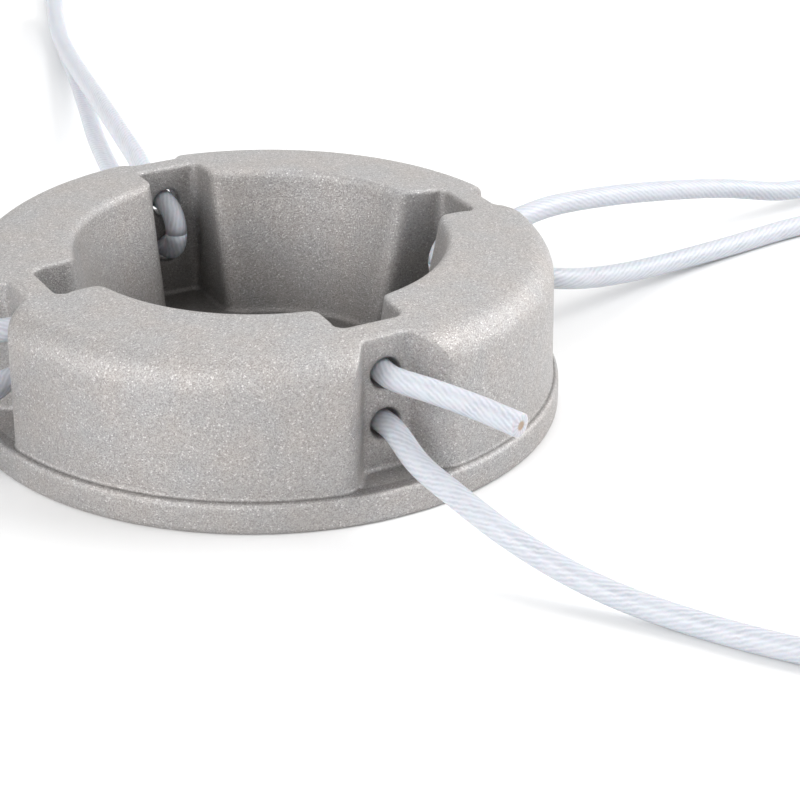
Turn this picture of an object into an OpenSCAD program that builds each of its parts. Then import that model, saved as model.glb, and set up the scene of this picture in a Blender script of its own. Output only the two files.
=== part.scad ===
// Cast trimmer head with four nylon cutting lines looped through its wall.
// It lies with the open cup up. The origin is the centre of the flat underside.

/* [Head] */
// Diameter over the foot flange
head_d = 105; // [90:0.5:120]
// Height from the underside to the inner edge of the crown
head_h = 30.2; // [28:0.1:36]
// Height of the foot flange
flange_h = 5.4; // [4:0.1:8]
// Width of the ledge that the flange leaves outside the wall
ledge = 1.1; // [0.5:0.1:3]
// How much the outer wall leans in over its height
wall_lean = 0.3; // [0:0.1:1.5]
// Rounding between the outer wall and the crown
edge_r = 5.5; // [3:0.1:8]
// Slope of the crown down to the outside beside the cup, in degrees
crown_slope = 3.2; // [1:0.1:8]
// Radius of the crown's gentle curve from there to the rounding
crown_r = 170; // [80:5:400]
// Thickness of the base
base_t = 4; // [3:0.1:6]

/* [Cup] */
// Diameter of the cup at the crown
cup_d = 65; // [58:0.5:68]
// Diameter of the cup at its floor
cup_floor_d = 53.2; // [44:0.2:56]
// Rounding of the cup's upper edge
lip_r = 1.6; // [0.5:0.1:2]
// Rounding between the cup's wall and its floor
floor_r = 1; // [0.5:0.1:4]

/* [Slots] */
// Distance from the centre to the inner face of the webs
web_in = 40; // [37:0.2:42]
// Thickness of the webs that hold the lines
web_t = 5; // [3.5:0.1:6]
// Width of the pockets inside the webs
pocket_w = 11.8; // [9:0.2:15]
// Rounding of a pocket's two back corners
pocket_r = 1.6; // [0.5:0.1:4]
// Rounding where a pocket opens into the cup
mouth_r = 3; // [1:0.1:3.5]
// Width of the outer slots at the web
slot_w = 8.4; // [6:0.2:12]
// Angle by which each side of an outer slot opens, in degrees
slot_flare = 35; // [20:1:50]
// Rounding of the outer slots beside the web
slot_r = 1.2; // [0.3:0.1:2]
// Rounding where the outer slots meet the outer wall
slot_mouth_r = 4.4; // [1:0.1:5]

/* [Holes] */
// Diameter of the spindle bore
bore_d = 25.4; // [20:0.1:30]
// Bevel at both ends of the spindle bore
bore_bevel = 0.6; // [0.2:0.1:1.5]
// Diameter of the line holes
hole_d = 5.2; // [4.6:0.1:6]
// Height of the lower line holes
hole_low = 13.5; // [12:0.1:15]
// Distance between the lower and upper line holes
hole_gap = 9; // [8:0.1:10]
// Bevel at both ends of the line holes
hole_bevel = 0.3; // [0.1:0.1:0.6]

/* [Line] */
// Diameter of the cutting line
line_d = 4; // [3:0.1:4.2]
// Number of sides of the line's tube
line_sides = 10; // [8:1:12]

/* [Hidden] */
$fn = 96;

head_r = head_d / 2;
cup_r = cup_d / 2;
cup_floor_r = cup_floor_d / 2;
web_out = web_in + web_t;
wall_r = head_r - ledge;
wall_top_r = wall_r - wall_lean;
rim_r = 0.6;
foot_r = 0.5;
groove = 0.2;
cup_lean = atan((cup_r - cup_floor_r) / (head_h - base_t));
arc_steps = 8;

// Centres of the crown's curve and of the rounding between it and the wall.
// The crown starts straight at the cup's edge, at the full height.
crown_flat = 3;
crown_centre = [cup_r, head_h] + crown_flat * [cos(crown_slope), -sin(crown_slope)]
  - crown_r * [sin(crown_slope), cos(crown_slope)];
edge_x = wall_top_r - edge_r;
edge_z = crown_centre[1] + sqrt(pow(crown_r - edge_r, 2) - pow(edge_x - crown_centre[0], 2));
edge_turn = atan2(edge_z - crown_centre[1], edge_x - crown_centre[0]);

// Directions of the four slots round the head
front_angle = -90;
left_angle = 180;
back_angle = 90;
right_angle = 0;
slot_angles = [front_angle, left_angle, back_angle, right_angle];

// Each route runs from the end of the upper strand through the upper hole,
// round the loop in the pocket and out of the lower hole to the end of the
// lower strand. A point is the distance out along the slot, the distance to
// its left seen from the centre, and the height.
loop_start = web_in + 0.5;
loop_z = hole_low + hole_gap / 2;
loop_end = web_out + 2;
loop_route = concat(
  [[loop_end, 0, hole_low + hole_gap]],
  [for (a = [90:-45:-90]) [loop_start, 0, loop_z] + hole_gap / 2 * [-cos(a), 0, sin(a)]],
  [[loop_end, 0, hole_low]]
);
front_up = [[69.5, 10, 21.5], [61.5, 6.8, 22], [54, 3.2, 22.4]];
front_low = [
  [58, -1, 12], [67, 0.5, 10.3], [76, 3, 8], [84, 7, 5.3], [93, 12, 3.2],
  [105, 19.5, 2], [118, 28, 2], [133, 41, 2], [146, 56, 2], [157, 73, 2],
  [165, 91, 2]
];
left_up = [
  [45, -136, 2], [66, -128, 2], [84, -114, 2.3], [95, -94, 4.3],
  [99, -72, 8], [95, -50, 12.5], [84, -28, 17], [66, -11, 20.8], [53, -3, 22.3]
];
left_low = [
  [53, 2.5, 12.3], [70, 8, 9], [88, 18, 5.5], [103, 31, 3], [116, 47, 2],
  [125, 65, 2], [131, 84, 2], [133, 104, 2]
];
back_up = [
  [231, -53, 6.4], [205, -43, 7.9], [180, -35, 9.8], [150, -27, 12.6],
  [118, -19, 16], [91, -12, 19], [64, -5, 21.7]
];
back_low = [
  [68, -4, 12.5], [94, -10.5, 10.5], [118, -17.5, 8.2], [141, -25, 6],
  [160, -31, 4.5], [178, -36.5, 3.2], [197, -42, 2.2], [215, -47.5, 2],
  [240, -56, 2], [250, -60, 2]
];
right_up = [
  [198, 89, 2], [192, 70, 2], [181, 53, 2], [166, 39, 2.3], [150, 30, 3],
  [136, 26, 4.8], [117, 22.5, 10], [98, 16.5, 15], [80, 10.5, 19.2],
  [63, 5.2, 22]
];
right_low = [
  [60, -2.5, 10.8], [70, 0.5, 7.8], [81, 4.2, 5.3], [93, 8, 3.4],
  [110, 11.5, 2.2], [131, 14, 2], [151, 12.5, 2], [170, 6, 2],
  [186, -5, 2], [198, -20, 2], [206, -38, 2]
];

function unit(v) = v / norm(v);

// Points along an arc in a plane
function arc(centre, r, a0, a1) =
  [for (i = [0:arc_steps]) let (a = a0 + (a1 - a0) * i / arc_steps)
    centre + r * [cos(a), sin(a)]];

function after_first(points) = [for (i = [1:len(points) - 1]) points[i]];

function mirrored(points) = [for (i = [len(points) - 1:-1:0]) [points[i][0], -points[i][1]]];

// A direction square to each tangent, carried along the route without twist
function carried(tangents, i, v) = i == len(tangents) ? [] :
  let (w = unit(v - (v * tangents[i]) * tangents[i])) concat([w], carried(tangents, i + 1, w));

// Section of the solid head, from the axis out and back
head_outline = concat(
  [[0, 0]],
  arc([head_r - foot_r, foot_r], foot_r, -90, 0),
  arc([head_r - rim_r, flange_h - rim_r], rim_r, 0, 90),
  [
    [wall_r - groove, flange_h],
    [wall_r - groove, flange_h + groove],
    [wall_r, flange_h + 2 * groove]
  ],
  arc([edge_x, edge_z], edge_r, 0, edge_turn),
  after_first(arc(crown_centre, crown_r, edge_turn, 90 - crown_slope)),
  [[0, head_h + cup_r * tan(crown_slope)]]
);

// Section of the cup, with its rounded lip and floor corner
lip_half = (90 + cup_lean - crown_slope) / 2;
lip_back = lip_r / tan(lip_half);
lip_centre = [cup_r, head_h] + lip_r / sin(lip_half)
  * unit([cos(crown_slope) - sin(cup_lean), -sin(crown_slope) - cos(cup_lean)]);
floor_centre = [cup_floor_r - floor_r * (1 - sin(cup_lean)) / cos(cup_lean), base_t + floor_r];
cup_outline = concat(
  [[0, base_t]],
  arc(floor_centre, floor_r, -90, -cup_lean),
  arc(lip_centre, lip_r, 180 - cup_lean, 90 - crown_slope),
  [
    [cup_r + lip_back * cos(crown_slope), head_h + 5],
    [0, head_h + 5]
  ]
);

// Plan of one pocket, from inside the cup out to the web
pocket_half = concat(
  arc([web_in - pocket_r, pocket_w / 2 - pocket_r], pocket_r, 0, 90),
  [[cup_floor_r - 6, pocket_w / 2]]
);

// Plan of one outer slot, from the web out past the wall
flare = [cos(slot_flare), sin(slot_flare)];
flare_side = [-sin(slot_flare), cos(slot_flare)];
corner_y = slot_w / 2 - slot_r * (1 - sin(slot_flare)) / cos(slot_flare);
from_corner = [web_out, slot_w / 2] + slot_mouth_r * flare_side;
along = from_corner * flare;
mouth_run = sqrt(along * along - from_corner * from_corner + pow(wall_r - slot_mouth_r, 2)) - along;
mouth_centre = from_corner + mouth_run * flare;
mouth_angle = atan2(mouth_centre[1], mouth_centre[0]);
slot_half = concat(
  arc([web_out + slot_r, corner_y], slot_r, 180, 90 + slot_flare),
  arc(mouth_centre, slot_mouth_r, slot_flare - 90, mouth_angle),
  [(head_r + 6) * [cos(mouth_angle), sin(mouth_angle)]]
);

// Plan of the rounding where a pocket's side meets the cup's wall, drawn at
// the crown and carried down along the lean of the wall
mouth_turn = asin(pocket_w / 2 / cup_r);
mouth_corner = [cup_r * cos(mouth_turn), pocket_w / 2];
mouth_half = (90 + mouth_turn) / 2;
mouth_centre_in = mouth_corner + mouth_r * [1 / tan(mouth_half), 1];
mouth_end = mouth_centre_in + mouth_r * [-cos(mouth_turn), -sin(mouth_turn)];
mouth_round = concat(
  [[mouth_corner[0] - floor_r - 2, mouth_corner[1] - 0.6]],
  arc(mouth_centre_in, mouth_r, -90, -180 + mouth_turn),
  [[mouth_corner[0] - floor_r - 2, mouth_end[1]]]
);

// Line holes run out through a web, one above the other
module line_hole(z) {
  translate([web_in - 1, 0, z]) rotate([0, 90, 0]) cylinder(d = hole_d, h = web_t + 2);
  for (end = [[web_in, 1], [web_out, -1]])
    translate([end[0] - end[1] * 0.01, 0, z]) rotate([0, end[1] * 90, 0])
      cylinder(r1 = hole_d / 2 + hole_bevel, r2 = hole_d / 2 - 0.01, h = hole_bevel + 0.02);
}

module pocket() {
  translate([0, 0, base_t]) linear_extrude(head_h)
    polygon(concat(mirrored(pocket_half), pocket_half));
  for (side = [0, 1])
    mirror([0, side, 0]) intersection() {
      translate([mouth_corner[0], 0, head_h]) rotate([0, cup_lean, 0])
        translate([-mouth_corner[0], 0, -head_h]) linear_extrude(head_h + 10)
          polygon(mouth_round);
      translate([0, 0, base_t]) cube([head_r, pocket_w, head_h]);
    }
}

module outer_slot() {
  translate([0, 0, flange_h]) linear_extrude(head_h)
    polygon(concat(mirrored(slot_half), slot_half));
}

module spindle_bore() {
  translate([0, 0, -1]) cylinder(d = bore_d, h = base_t + 2);
  for (end = [[-0.01, 1], [base_t + 0.01, -1]])
    translate([0, 0, end[0]]) mirror([0, 0, end[1] < 0 ? 1 : 0])
      cylinder(r1 = bore_d / 2 + bore_bevel, r2 = bore_d / 2 - 0.01, h = bore_bevel + 0.02);
}

module cast_head() {
  color("#b7b4b1") difference() {
    rotate_extrude() polygon(head_outline);
    rotate_extrude() polygon(cup_outline);
    spindle_bore();
    for (angle = slot_angles)
      rotate(angle) {
        pocket();
        outer_slot();
        line_hole(hole_low);
        line_hole(hole_low + hole_gap);
      }
  }
}

// A round tube swept along a route's own points
module tube(route) {
  count = len(route);
  tangents = [for (i = [0:count - 1]) unit(route[min(i + 1, count - 1)] - route[max(i - 1, 0)])];
  sides = carried(tangents, 0, [0, 0, 1]);
  rings = [
    for (i = [0:count - 1], s = [0:line_sides - 1])
      let (a = 360 * (s + 0.5) / line_sides)
        route[i] + line_d / 2 * (cos(a) * sides[i] + sin(a) * cross(tangents[i], sides[i]))
  ];
  walls = [
    for (i = [0:count - 2], s = [0:line_sides - 1])
      let (a = i * line_sides + s, b = i * line_sides + (s + 1) % line_sides)
        each [[a, b, b + line_sides], [a, b + line_sides, a + line_sides]]
  ];
  caps = [
    [for (s = [line_sides - 1:-1:0]) s],
    [for (s = [0:line_sides - 1]) (count - 1) * line_sides + s]
  ];
  polyhedron(rings, concat(walls, caps));
}

module cutting_line(upper, lower, angle) {
  color("#e6ebf2") rotate(angle) tube(concat(upper, loop_route, lower));
}

module front_line() { cutting_line(front_up, front_low, front_angle); }
module left_line() { cutting_line(left_up, left_low, left_angle); }
module back_line() { cutting_line(back_up, back_low, back_angle); }
module right_line() { cutting_line(right_up, right_low, right_angle); }

cast_head();
front_line();
left_line();
back_line();
right_line();
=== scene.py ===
import math

import bmesh
import bpy
from mathutils import Matrix, Quaternion, Vector


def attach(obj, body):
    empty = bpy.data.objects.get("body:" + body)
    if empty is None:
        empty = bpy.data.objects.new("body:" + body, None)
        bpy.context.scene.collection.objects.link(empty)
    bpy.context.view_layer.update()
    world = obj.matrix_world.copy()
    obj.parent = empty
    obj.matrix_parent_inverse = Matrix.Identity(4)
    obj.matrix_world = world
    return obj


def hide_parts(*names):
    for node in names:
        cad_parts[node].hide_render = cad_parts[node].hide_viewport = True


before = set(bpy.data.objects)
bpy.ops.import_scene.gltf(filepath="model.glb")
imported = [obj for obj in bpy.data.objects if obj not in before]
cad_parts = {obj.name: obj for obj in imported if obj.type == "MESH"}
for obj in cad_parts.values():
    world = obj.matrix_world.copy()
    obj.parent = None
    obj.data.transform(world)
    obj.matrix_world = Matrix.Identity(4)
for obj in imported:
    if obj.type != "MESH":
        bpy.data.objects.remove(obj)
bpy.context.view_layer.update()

MM = 0.001

# Camera, as the photograph was taken
CAMERA_PLACE = (-0.16583, -0.3433, 0.18417)
CAMERA_AIM = (0.00472, -0.04122, 0.015)
CAMERA_ROLL = math.radians(0.29)
CAMERA_LENS = 106.3

# Line sizes and routes, in millimetres: distance out along the slot, distance
# to its left seen from the centre, and height
LINE_D = 4.0
HOLE_LOW = 13.5
HOLE_GAP = 9.0
LOOP_START = 40.5
LOOP_END = 47.0
LOOP = (
    [(LOOP_END, 0, HOLE_LOW + HOLE_GAP)]
    + [
        (
            LOOP_START - HOLE_GAP / 2 * math.cos(math.radians(a)),
            0,
            HOLE_LOW + HOLE_GAP / 2 * (1 + math.sin(math.radians(a))),
        )
        for a in range(90, -91, -45)
    ]
    + [(LOOP_END, 0, HOLE_LOW)]
)
LOOP_APEX = 3
FRONT_UP = [(69.5, 10, 21.5), (61.5, 6.8, 22), (54, 3.2, 22.4)]
FRONT_LOW = [
    (58, -1, 12), (67, 0.5, 10.3), (76, 3, 8), (84, 7, 5.3), (93, 12, 3.2),
    (105, 19.5, 2), (118, 28, 2), (133, 41, 2), (146, 56, 2), (157, 73, 2),
    (165, 91, 2),
]
LEFT_UP = [
    (45, -136, 2), (66, -128, 2), (84, -114, 2.3), (95, -94, 4.3),
    (99, -72, 8), (95, -50, 12.5), (84, -28, 17), (66, -11, 20.8), (53, -3, 22.3),
]
LEFT_LOW = [
    (53, 2.5, 12.3), (70, 8, 9), (88, 18, 5.5), (103, 31, 3), (116, 47, 2),
    (125, 65, 2), (131, 84, 2), (133, 104, 2),
]
BACK_UP = [
    (231, -53, 6.4), (205, -43, 7.9), (180, -35, 9.8), (150, -27, 12.6),
    (118, -19, 16), (91, -12, 19), (64, -5, 21.7),
]
BACK_LOW = [
    (68, -4, 12.5), (94, -10.5, 10.5), (118, -17.5, 8.2), (141, -25, 6),
    (160, -31, 4.5), (178, -36.5, 3.2), (197, -42, 2.2), (215, -47.5, 2),
    (240, -56, 2), (250, -60, 2),
]
RIGHT_UP = [
    (198, 89, 2), (192, 70, 2), (181, 53, 2), (166, 39, 2.3), (150, 30, 3),
    (136, 26, 4.8), (117, 22.5, 10), (98, 16.5, 15), (80, 10.5, 19.2),
    (63, 5.2, 22),
]
RIGHT_LOW = [
    (60, -2.5, 10.8), (70, 0.5, 7.8), (81, 4.2, 5.3), (93, 8, 3.4),
    (110, 11.5, 2.2), (131, 14, 2), (151, 12.5, 2), (170, 6, 2),
    (186, -5, 2), (198, -20, 2), (206, -38, 2),
]
# Node, upper strand, lower strand and direction of the slot in degrees
LINES = [
    ("front_line", FRONT_UP, FRONT_LOW, -90),
    ("left_line", LEFT_UP, LEFT_LOW, 180),
    ("back_line", BACK_UP, BACK_LOW, 90),
    ("right_line", RIGHT_UP, RIGHT_LOW, 0),
]
LINE_SIDES = 24
LINE_STEP = 1.0
# Rings of a strand's rounded cut: share of the radius, and millimetres outwards
CUT_RINGS = ((0.94, 0.10), (0.82, 0.16), (0.55, 0.17), (0.34, 0.15), (0.2, 0.12))

# The casting's skin: merging distance and step in millimetres, smoothing
# passes that soften its edges, and the share of its faces that is kept
MERGE = 0.01
SKIN_STEP = 0.42
SKIN_PASSES = 3
SKIN_SHARE = 0.3

# Grain of the casting in millimetres, share of its cells that glint and their
# strength, size and contrast of its patches, and of the patches in the nylon
GRAIN_SIZE = 0.22
GLINT_CELLS = 0.035
GLINT_SHARE = 0.3
PATCH_SIZE = 9.0
PATCH_CONTRAST = 3.0
NYLON_PATCH_SIZE = 3.0
NYLON_PATCH_CONTRAST = 2.0

# Colours of the casting and the line, and how strongly painted shade darkens the seam and the depth of
# the cup
CAST_WARM = (0.43, 0.395, 0.375, 1)
CAST_COOL = (0.40, 0.395, 0.40, 1)
CAST_DARK = (0.16, 0.152, 0.146, 1)
CAST_BRIGHT = (0.84, 0.83, 0.82, 1)
CAST_GLINT = (0.95, 0.94, 0.93, 1)
CAST_SHADE = (0.07, 0.065, 0.06, 1)
SEAM_SHADE_SHARE = 0.75
DEEP_SHADE_SHARE = 0.6
NYLON_SHADE = (0.37, 0.40, 0.45, 1)
NYLON_LIGHT = (0.56, 0.585, 0.63, 1)
NYLON_MILK = (0.53, 0.555, 0.60, 1)
NYLON_CORE = (0.36, 0.27, 0.20, 1)

# Even light of the studio, and its soft lamps as place, size and power
WORLD = 0.66
LIGHTS = (
    ("left", (-0.9, -0.3, 0.5), 0.6, 8.5),
    ("right", (0.9, -0.3, 0.6), 0.8, 11),
    ("top", (0.45, 0.7, 1.1), 1.2, 6),
)


def make_camera():
    """The camera at the photograph's place."""
    cam = bpy.data.objects.new("camera", bpy.data.cameras.new("camera"))
    bpy.context.scene.collection.objects.link(cam)
    cam.location = CAMERA_PLACE
    aim = (Vector(CAMERA_AIM) - Vector(CAMERA_PLACE)).to_track_quat("-Z", "Y")
    cam.rotation_mode = "QUATERNION"
    cam.rotation_quaternion = aim @ Quaternion((0, 0, 1), CAMERA_ROLL)
    cam.data.lens = CAMERA_LENS
    cam.data.sensor_width = 36
    cam.data.clip_start = 0.01
    cam.data.clip_end = 20
    bpy.context.scene.camera = cam


def placed(route, angle):
    """The route's points in metres, turned to the slot's direction."""
    turn = Matrix.Rotation(math.radians(angle), 3, "Z")
    return [turn @ (Vector(p) * MM) for p in route]


def smoothed(points, step):
    """Points a step apart on a smooth curve through the given points."""
    ends = [2 * points[0] - points[1]] + points + [2 * points[-1] - points[-2]]
    out = []
    for p0, p1, p2, p3 in zip(ends, ends[1:], ends[2:], ends[3:]):
        k0, k1, k2 = ((b - a).length ** 0.5 for a, b in ((p0, p1), (p1, p2), (p2, p3)))
        m1 = (p1 - p0) / k0 - (p2 - p0) / (k0 + k1) + (p2 - p1) / k1
        m2 = (p2 - p1) / k1 - (p3 - p1) / (k1 + k2) + (p3 - p2) / k2
        m1, m2 = m1 * k1, m2 * k1
        count = max(2, round((p2 - p1).length / step))
        for i in range(count):
            t = i / count
            out.append(
                (2 * t**3 - 3 * t**2 + 1) * p1
                + (t**3 - 2 * t**2 + t) * m1
                + (3 * t**2 - 2 * t**3) * p2
                + (t**3 - t**2) * m2
            )
    return out + [points[-1]]


def ring_frames(points):
    """A turning matrix for each point, carried along the route without twist."""
    frames = []
    side = Vector((0, 0, 1))
    for i in range(len(points)):
        ahead = (points[min(i + 1, len(points) - 1)] - points[max(i - 1, 0)]).normalized()
        side = (side - side.dot(ahead) * ahead).normalized()
        frames.append(Matrix((side, ahead.cross(side), ahead)).transposed().to_4x4())
    return frames


def make_tube(name, points, frames, radius, end_sign):
    """A round tube along the points. It starts flat and ends in a rounded cut."""
    bm = bmesh.new()
    core = bm.verts.layers.float.new("core")
    # Each ring is a place and turn, a radius and a share of the radius
    rings = [(Matrix.Translation(p) @ f, radius, 1.0) for p, f in zip(points, frames)]
    for share, out in CUT_RINGS:
        push = frames[-1] @ Vector((0, 0, end_sign * out * MM))
        rings.append((Matrix.Translation(points[-1] + push) @ frames[-1], radius * share, share))
    bmesh.ops.create_circle(
        bm, cap_ends=True, segments=LINE_SIDES, radius=radius, matrix=rings[0][0]
    )
    loop = list(bm.verts)
    spots = {v: (0.0, i / LINE_SIDES) for i, v in enumerate(loop)}
    for v in loop:
        v[core] = 1.0
    run = 0.0
    for last, ring in zip(rings, rings[1:]):
        run += (ring[0].translation - last[0].translation).length
        edges = {e for v in loop for e in v.link_edges if e.other_vert(v) in loop}
        out = bmesh.ops.extrude_edge_only(bm, edges=list(edges))
        fresh = {v for v in out["geom"] if isinstance(v, bmesh.types.BMVert)}
        step = ring[0] @ Matrix.Scale(ring[1] / last[1], 4) @ last[0].inverted()
        bmesh.ops.transform(bm, matrix=step, verts=list(fresh))
        after = []
        for v in loop:
            mate = next(e.other_vert(v) for e in v.link_edges if e.other_vert(v) in fresh)
            mate[core] = ring[2]
            spots[mate] = (run, spots[v][1])
            after.append(mate)
        loop = after
    bmesh.ops.contextual_create(bm, geom=loop)
    bmesh.ops.recalc_face_normals(bm, faces=bm.faces)
    uv = bm.loops.layers.uv.new("twist")
    for face in bm.faces:
        turns = [spots[c.vert][1] for c in face.loops]
        wraps = max(turns) - min(turns) > 0.5 and len(turns) == 4
        for corner, turn in zip(face.loops, turns):
            corner[uv].uv = (spots[corner.vert][0] / MM, turn + (wraps and turn < 0.5))
        face.smooth = True
    mesh = bpy.data.meshes.new(name)
    bm.to_mesh(mesh)
    bm.free()
    obj = bpy.data.objects.new(name, mesh)
    bpy.context.scene.collection.objects.link(obj)
    return obj


def make_lines(material):
    """Two strands for each line, which meet at the apex of its loop."""
    for name, upper, lower, angle in LINES:
        points = smoothed(placed(upper + LOOP + lower, angle), LINE_STEP * MM)
        frames = ring_frames(points)
        apex = placed([LOOP[LOOP_APEX]], angle)[0]
        middle = min(range(len(points)), key=lambda i: (points[i] - apex).length)
        strands = (
            ("upper", points[middle::-1], frames[middle::-1], -1, LOOP[0]),
            ("lower", points[middle:], frames[middle:], 1, LOOP[-1]),
        )
        for which, way, turns, end_sign, mouth in strands:
            obj = make_tube(f"{name}_{which}_strand", way, turns, LINE_D / 2 * MM, end_sign)
            obj.data.materials.append(material)
            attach(obj, "root")
            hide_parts(name)


def make_head(material):
    """The casting, with its sharp edges softened as blasting leaves them."""
    bm = bmesh.new()
    bm.from_mesh(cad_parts["cast_head"].data)
    bmesh.ops.remove_doubles(bm, verts=bm.verts, dist=MERGE * MM)
    bmesh.ops.recalc_face_normals(bm, faces=bm.faces)
    for face in bm.faces:
        face.smooth = True
    mesh = bpy.data.meshes.new("soft_cast_head")
    bm.to_mesh(mesh)
    bm.free()
    mesh.materials.append(material)
    obj = bpy.data.objects.new("soft_cast_head", mesh)
    bpy.context.scene.collection.objects.link(obj)
    even = obj.modifiers.new("even skin", "REMESH")
    even.mode = "VOXEL"
    even.voxel_size = SKIN_STEP * MM
    even.use_smooth_shade = True
    worn = obj.modifiers.new("worn edges", "SMOOTH")
    worn.factor = 0.5
    worn.iterations = SKIN_PASSES
    light = obj.modifiers.new("fewer faces", "DECIMATE")
    light.ratio = SKIN_SHARE
    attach(obj, "root")
    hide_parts("cast_head")


def new_group(name, inputs, outputs):
    """An empty shader group with named sockets; each is a name, a kind and a value."""
    group = bpy.data.node_groups.new(name, "ShaderNodeTree")
    for side, sockets in (("INPUT", inputs), ("OUTPUT", outputs)):
        for label, kind, value in sockets:
            sock = group.interface.new_socket(label, in_out=side, socket_type="NodeSocket" + kind)
            if value is not None:
                sock.default_value = value
    return group, group.nodes.new("NodeGroupInput"), group.nodes.new("NodeGroupOutput")


def add(tree, kind, values=(), **settings):
    """A node with its settings, and its sockets set or linked by name or number."""
    node = tree.nodes.new(kind)
    for key, value in settings.items():
        setattr(node, key, value)
    for key, value in dict(values).items():
        if isinstance(value, bpy.types.NodeSocket):
            tree.links.new(value, node.inputs[key])
        else:
            node.inputs[key].default_value = value
    return node


def mix_color(tree, share, a, b):
    """The colour that lies a share of the way from the first to the second."""
    node = tree.nodes.new("ShaderNodeMix")
    node.data_type = "RGBA"
    for key, value in ((0, share), (6, a), (7, b)):
        if isinstance(value, bpy.types.NodeSocket):
            tree.links.new(value, node.inputs[key])
        else:
            node.inputs[key].default_value = value
    return node.outputs[2]


def blast_grain_group():
    """The bright and dark grain of a blasted casting, with its relief."""
    tree, ins, outs = new_group(
        "blast grain",
        [("Grain Size", "Float", 0.35), ("Glints", "Float", 0.1)],
        [("Tone", "Float", None), ("Glint", "Float", None), ("Height", "Float", None)],
    )
    place = add(tree, "ShaderNodeTexCoord").outputs["Object"]
    scale = add(
        tree, "ShaderNodeMath", {0: 1000.0, 1: ins.outputs["Grain Size"]}, operation="DIVIDE"
    ).outputs[0]
    fine = add(
        tree, "ShaderNodeTexNoise", {"Vector": place, "Scale": scale, "Detail": 2.0, "Roughness": 0.6}
    ).outputs["Fac"]
    cells = add(tree, "ShaderNodeTexVoronoi", {"Vector": place, "Scale": scale})
    spot = add(tree, "ShaderNodeSeparateColor", {0: cells.outputs["Color"]}).outputs[0]
    tone = add(
        tree, "ShaderNodeMapRange", {0: fine, 1: 0.3, 2: 0.7, 3: 0.0, 4: 1.0}
    ).outputs[0]
    mean = add(tree, "ShaderNodeMath", {0: tone, 1: spot}, operation="ADD").outputs[0]
    half = add(tree, "ShaderNodeMath", {0: mean, 1: 0.5}, operation="MULTIPLY").outputs[0]
    edge = add(
        tree, "ShaderNodeMath", {0: 1.0, 1: ins.outputs["Glints"]}, operation="SUBTRACT"
    ).outputs[0]
    glint = add(tree, "ShaderNodeMath", {0: spot, 1: edge}, operation="GREATER_THAN").outputs[0]
    tree.links.new(half, outs.inputs["Tone"])
    tree.links.new(glint, outs.inputs["Glint"])
    tree.links.new(half, outs.inputs["Height"])
    return tree


def clouds_group():
    """Broad uneven patches, such as a casting keeps from its mould."""
    tree, ins, outs = new_group(
        "broad clouds",
        [("Patch Size", "Float", 12.0), ("Contrast", "Float", 1.0)],
        [("Mask", "Float", None)],
    )
    place = add(tree, "ShaderNodeTexCoord").outputs["Object"]
    scale = add(
        tree, "ShaderNodeMath", {0: 1000.0, 1: ins.outputs["Patch Size"]}, operation="DIVIDE"
    ).outputs[0]
    noise = add(
        tree, "ShaderNodeTexNoise", {"Vector": place, "Scale": scale, "Detail": 5.0, "Roughness": 0.62}
    ).outputs["Fac"]
    low = add(tree, "ShaderNodeMath", {0: noise, 1: 0.5}, operation="SUBTRACT").outputs[0]
    wide = add(
        tree, "ShaderNodeMath", {0: low, 1: ins.outputs["Contrast"]}, operation="MULTIPLY"
    ).outputs[0]
    mask = add(
        tree, "ShaderNodeMath", {0: wide, 1: 0.5}, operation="ADD", use_clamp=True
    ).outputs[0]
    tree.links.new(mask, outs.inputs["Mask"])
    return tree


def fibre_group():
    """Twisted fibres inside a clear line, drawn along it and round it."""
    tree, ins, outs = new_group(
        "twisted fibres",
        [("Pitch", "Float", 26.0), ("Fibres", "Float", 14.0)],
        [("Fibre", "Float", None), ("Height", "Float", None)],
    )
    spot = add(tree, "ShaderNodeUVMap", uv_map="twist").outputs[0]
    parts = add(tree, "ShaderNodeSeparateXYZ", {0: spot})
    turn = add(
        tree, "ShaderNodeMath", {0: parts.outputs[0], 1: ins.outputs["Pitch"]}, operation="DIVIDE"
    ).outputs[0]
    wound = add(tree, "ShaderNodeMath", {0: turn, 1: parts.outputs[1]}, operation="ADD").outputs[0]
    count = add(
        tree, "ShaderNodeMath", {0: wound, 1: ins.outputs["Fibres"]}, operation="MULTIPLY"
    ).outputs[0]
    angle = add(tree, "ShaderNodeMath", {0: count, 1: 2 * math.pi}, operation="MULTIPLY").outputs[0]
    place = add(tree, "ShaderNodeTexCoord").outputs["Object"]
    loose = add(
        tree, "ShaderNodeTexNoise", {"Vector": place, "Scale": 900.0, "Detail": 3.0}
    ).outputs["Fac"]
    shift = add(tree, "ShaderNodeMath", {0: loose, 1: 6.0}, operation="MULTIPLY").outputs[0]
    phase = add(tree, "ShaderNodeMath", {0: angle, 1: shift}, operation="ADD").outputs[0]
    wave = add(tree, "ShaderNodeMath", {0: phase}, operation="SINE").outputs[0]
    fibre = add(
        tree, "ShaderNodeMapRange", {0: wave, 1: -1.0, 2: 1.0, 3: 0.0, 4: 1.0}
    ).outputs[0]
    tree.links.new(fibre, outs.inputs["Fibre"])
    tree.links.new(wave, outs.inputs["Height"])
    return tree


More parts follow.
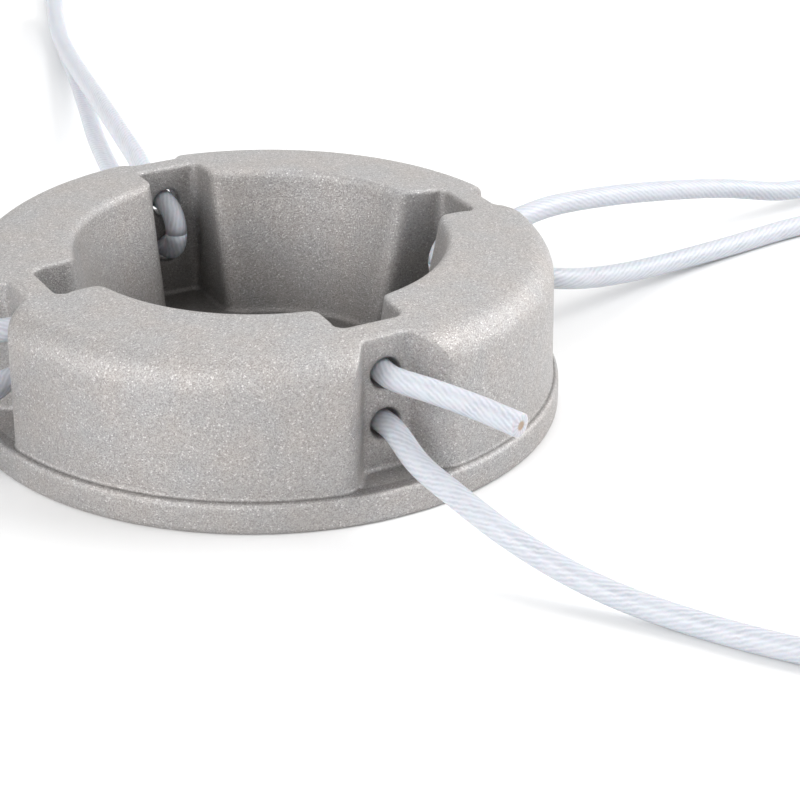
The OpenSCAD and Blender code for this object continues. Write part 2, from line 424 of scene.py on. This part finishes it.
def shade_by_place_group():
    """Painted shade in the seam above the foot and deep inside the cup, all in millimetres."""
    tree, ins, outs = new_group(
        "shade by place",
        [
            ("Seam Height", "Float", 5.6), ("Seam Width", "Float", 0.35),
            ("Seam Radius", "Float", 50.0), ("Cup Radius", "Float", 41.0),
            ("Low", "Float", 2.0), ("High", "Float", 24.0),
        ],
        [("Seam", "Float", None), ("Deep", "Float", None)],
    )
    place = add(tree, "ShaderNodeTexCoord").outputs["Object"]
    in_mm = add(tree, "ShaderNodeVectorMath", {0: place, 3: 1000.0}, operation="SCALE").outputs[0]
    parts = add(tree, "ShaderNodeSeparateXYZ", {0: in_mm})
    height = parts.outputs[2]
    flat = add(tree, "ShaderNodeCombineXYZ", {0: parts.outputs[0], 1: parts.outputs[1]}).outputs[0]
    radius = add(tree, "ShaderNodeVectorMath", {0: flat}, operation="LENGTH").outputs["Value"]
    over = add(
        tree, "ShaderNodeMath", {0: height, 1: ins.outputs["Seam Height"]}, operation="SUBTRACT"
    ).outputs[0]
    away = add(tree, "ShaderNodeMath", {0: over}, operation="ABSOLUTE").outputs[0]
    near = add(
        tree, "ShaderNodeMapRange", {0: away, 1: 0.0, 2: ins.outputs["Seam Width"], 3: 1.0, 4: 0.0}
    ).outputs[0]
    outer = add(
        tree, "ShaderNodeMath", {0: radius, 1: ins.outputs["Seam Radius"]},
        operation="GREATER_THAN",
    ).outputs[0]
    seam = add(tree, "ShaderNodeMath", {0: near, 1: outer}, operation="MULTIPLY").outputs[0]
    depth = add(
        tree, "ShaderNodeMapRange",
        {0: height, 1: ins.outputs["Low"], 2: ins.outputs["High"], 3: 1.0, 4: 0.0},
    ).outputs[0]
    inner = add(
        tree, "ShaderNodeMath", {0: radius, 1: ins.outputs["Cup Radius"]}, operation="LESS_THAN"
    ).outputs[0]
    deep = add(tree, "ShaderNodeMath", {0: depth, 1: inner}, operation="MULTIPLY").outputs[0]
    tree.links.new(seam, outs.inputs["Seam"])
    tree.links.new(deep, outs.inputs["Deep"])
    return tree


def new_material(name):
    """A material, its node tree and its surface shader."""
    mat = bpy.data.materials.new(name)
    mat.use_nodes = True
    return mat, mat.node_tree, mat.node_tree.nodes["Principled BSDF"]


def casting_material(grain_group, cloud_group, place_group):
    mat, tree, skin = new_material("blasted casting")
    grain = add(tree, "ShaderNodeGroup", {}, node_tree=grain_group)
    grain.inputs["Grain Size"].default_value = GRAIN_SIZE
    grain.inputs["Glints"].default_value = GLINT_CELLS
    clouds = add(tree, "ShaderNodeGroup", {}, node_tree=cloud_group)
    clouds.inputs["Patch Size"].default_value = PATCH_SIZE
    clouds.inputs["Contrast"].default_value = PATCH_CONTRAST
    body = mix_color(tree, clouds.outputs["Mask"], CAST_WARM, CAST_COOL)
    dark = mix_color(tree, 0.5, body, CAST_DARK)
    bright = mix_color(tree, 0.35, body, CAST_BRIGHT)
    grained = mix_color(tree, grain.outputs["Tone"], dark, bright)
    # Painted highlight: a share of the grain cells is lifted towards CAST_GLINT as glints.
    shine = add(
        tree, "ShaderNodeMath", {0: grain.outputs["Glint"], 1: GLINT_SHARE}, operation="MULTIPLY"
    ).outputs[0]
    color = mix_color(tree, shine, grained, CAST_GLINT)
    place = add(tree, "ShaderNodeGroup", {}, node_tree=place_group)
    # Painted shade: a thin band along the seam above the foot is darkened towards CAST_SHADE.
    seam = add(
        tree, "ShaderNodeMath", {0: place.outputs["Seam"], 1: SEAM_SHADE_SHARE}, operation="MULTIPLY"
    ).outputs[0]
    # Painted shade: inside the cup the colour is darkened towards CAST_SHADE, more towards the bottom.
    deep = add(
        tree, "ShaderNodeMath", {0: place.outputs["Deep"], 1: DEEP_SHADE_SHARE}, operation="MULTIPLY"
    ).outputs[0]
    color = mix_color(tree, seam, color, CAST_SHADE)
    color = mix_color(tree, deep, color, CAST_SHADE)
    rough = add(
        tree, "ShaderNodeMapRange", {0: grain.outputs["Tone"], 1: 0.0, 2: 1.0, 3: 0.62, 4: 0.42}
    ).outputs[0]
    bump = add(
        tree, "ShaderNodeBump",
        {"Height": grain.outputs["Height"], "Strength": 0.8, "Distance": 0.00015},
    )
    tree.links.new(color, skin.inputs["Base Color"])
    tree.links.new(rough, skin.inputs["Roughness"])
    tree.links.new(bump.outputs[0], skin.inputs["Normal"])
    skin.inputs["Metallic"].default_value = 0.9
    return mat


def nylon_material(fibres_group, cloud_group):
    mat, tree, skin = new_material("clear nylon")
    fibres = add(tree, "ShaderNodeGroup", {}, node_tree=fibres_group)
    clouds = add(tree, "ShaderNodeGroup", {}, node_tree=cloud_group)
    clouds.inputs["Patch Size"].default_value = NYLON_PATCH_SIZE
    clouds.inputs["Contrast"].default_value = NYLON_PATCH_CONTRAST
    body = mix_color(tree, fibres.outputs["Fibre"], NYLON_SHADE, NYLON_LIGHT)
    milky = mix_color(tree, clouds.outputs["Mask"], body, NYLON_MILK)
    share = add(tree, "ShaderNodeAttribute", attribute_name="core").outputs["Fac"]
    inner = add(
        tree, "ShaderNodeMapRange", {0: share, 1: 0.3, 2: 0.5, 3: 1.0, 4: 0.0}
    ).outputs[0]
    color = mix_color(tree, inner, milky, NYLON_CORE)
    bump = add(
        tree, "ShaderNodeBump",
        {"Height": fibres.outputs["Height"], "Strength": 0.15, "Distance": 0.0001},
    )
    tree.links.new(color, skin.inputs["Base Color"])
    tree.links.new(bump.outputs[0], skin.inputs["Normal"])
    skin.inputs["Roughness"].default_value = 0.38
    skin.inputs["Subsurface Weight"].default_value = 0.4
    skin.inputs["Subsurface Scale"].default_value = 0.002
    return mat


def make_floor():
    """A broad sheet of white paper under everything."""
    bm = bmesh.new()
    bmesh.ops.create_grid(bm, x_segments=1, y_segments=1, size=4)
    mesh = bpy.data.meshes.new("floor")
    bm.to_mesh(mesh)
    bm.free()
    floor = bpy.data.objects.new("floor", mesh)
    bpy.context.scene.collection.objects.link(floor)
    mat, tree, skin = new_material("white paper")
    skin.inputs["Base Color"].default_value = (0.84, 0.84, 0.84, 1)
    skin.inputs["Roughness"].default_value = 0.9
    mesh.materials.append(mat)


def make_lights():
    """Even white surroundings, which the camera sees as pure white, and three lamps."""
    world = bpy.data.worlds.new("studio")
    bpy.context.scene.world = world
    world.use_nodes = True
    tree = world.node_tree
    seen = add(tree, "ShaderNodeLightPath").outputs["Is Camera Ray"]
    strength = add(tree, "ShaderNodeMath", {0: seen, 1: WORLD}, operation="MAXIMUM").outputs[0]
    tree.nodes["Background"].inputs["Color"].default_value = (1, 1, 1, 1)
    tree.links.new(strength, tree.nodes["Background"].inputs["Strength"])
    for name, place, size, power in LIGHTS:
        light = bpy.data.objects.new(name, bpy.data.lights.new(name, "AREA"))
        light.data.size = size
        light.data.energy = power
        light.location = place
        light.rotation_euler = (-Vector(place)).to_track_quat("-Z", "Y").to_euler()
        bpy.context.scene.collection.objects.link(light)


make_camera()
clouds = clouds_group()
make_lines(nylon_material(fibre_group(), clouds))
make_head(casting_material(blast_grain_group(), clouds, shade_by_place_group()))
make_floor()
make_lights()
bpy.context.scene.view_settings.view_transform = "Standard"
